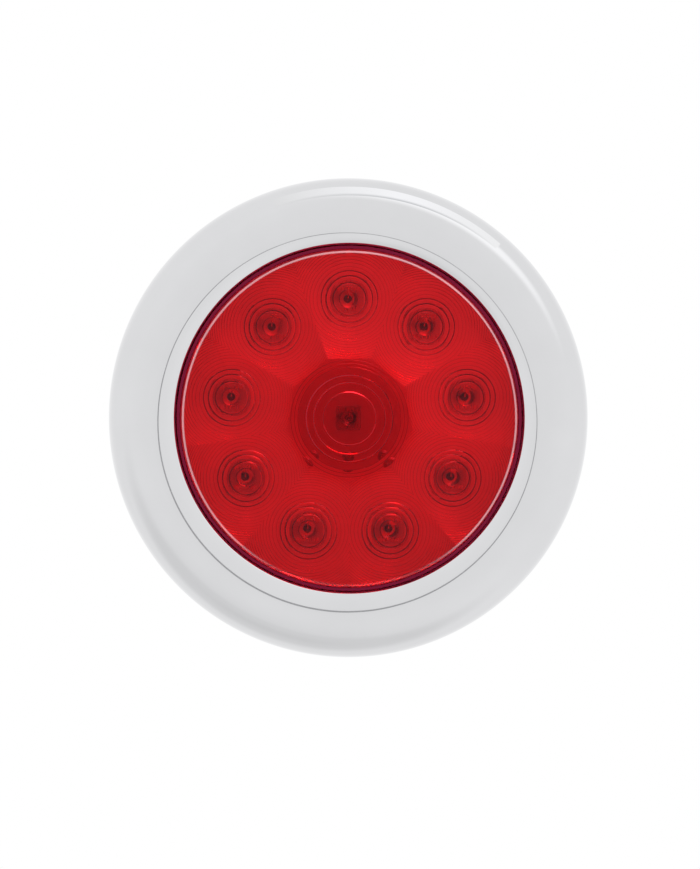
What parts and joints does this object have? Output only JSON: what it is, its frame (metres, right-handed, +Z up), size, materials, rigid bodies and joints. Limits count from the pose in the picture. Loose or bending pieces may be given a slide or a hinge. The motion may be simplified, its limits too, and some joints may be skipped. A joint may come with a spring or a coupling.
{
  "type": "trailer tail light",
  "caption": "Round red LED stop, turn and tail lamp in a domed chrome twist-lock bezel, with a gasketed screw-on base and a recessed three-pin plug socket at the back.",
  "frame": {"origin": "on the lamp's axis in the mounting plane, which is the back face of the base gasket", "axes": "+Y points back along the lamp's axis into the trailer's panel, so the lens faces -Y; +Z up with the key at the bottom; +X to the right seen from the front"},
  "size_m": [0.1492, 0.035, 0.1492],
  "materials": {
    "chrome_plating": "polished",
    "foam_rubber": "matte",
    "black_base_plastic": "satin",
    "stainless_steel": "satin",
    "seal_rubber": "satin",
    "red_lens": "gloss",
    "black_housing_plastic": "satin",
    "brass_pin": "polished",
    "circuit_board": "satin",
    "led_epoxy": "gloss",
    "led_lead_frame": "polished",
    "led_die": "gloss",
    "gold_wire": "polished",
    "solder": "polished",
    "resistor_ceramic": "satin",
    "component_resin": "matte",
    "capacitor_can": "satin",
    "potting_resin": "gloss"
  },
  "bodies": {
    "lamp": {"base_gasket": "foam_rubber", "mounting_base": "black_base_plastic", "mounting_screws": "stainless_steel", "seat_gasket": "seal_rubber", "lens": "red_lens", "lamp_housing": "black_housing_plastic", "tail_pin": "brass_pin", "ground_pin": "brass_pin", "stop_pin": "brass_pin", "circuit_board": "circuit_board", "led_bodies": "led_epoxy", "led_anode_frames": "led_lead_frame", "led_cathode_frames": "led_lead_frame", "led_dies": "led_die", "led_bond_wires": "gold_wire", "solder_joints": "solder", "resistors": "resistor_ceramic", "diodes": "component_resin", "voltage_regulator": "component_resin", "surge_suppressor": "component_resin", "capacitors": "capacitor_can", "potting_compound": "potting_resin"},
    "bezel": {"bezel": "chrome_plating"}
  },
  "joints": [
    {"name": "bezel_twist", "type": "hinge", "parent": "lamp", "child": "bezel", "pos_m": [0, 0, 0], "axis": [0, -1, 0], "range_deg": [0, 24]}
  ]
}
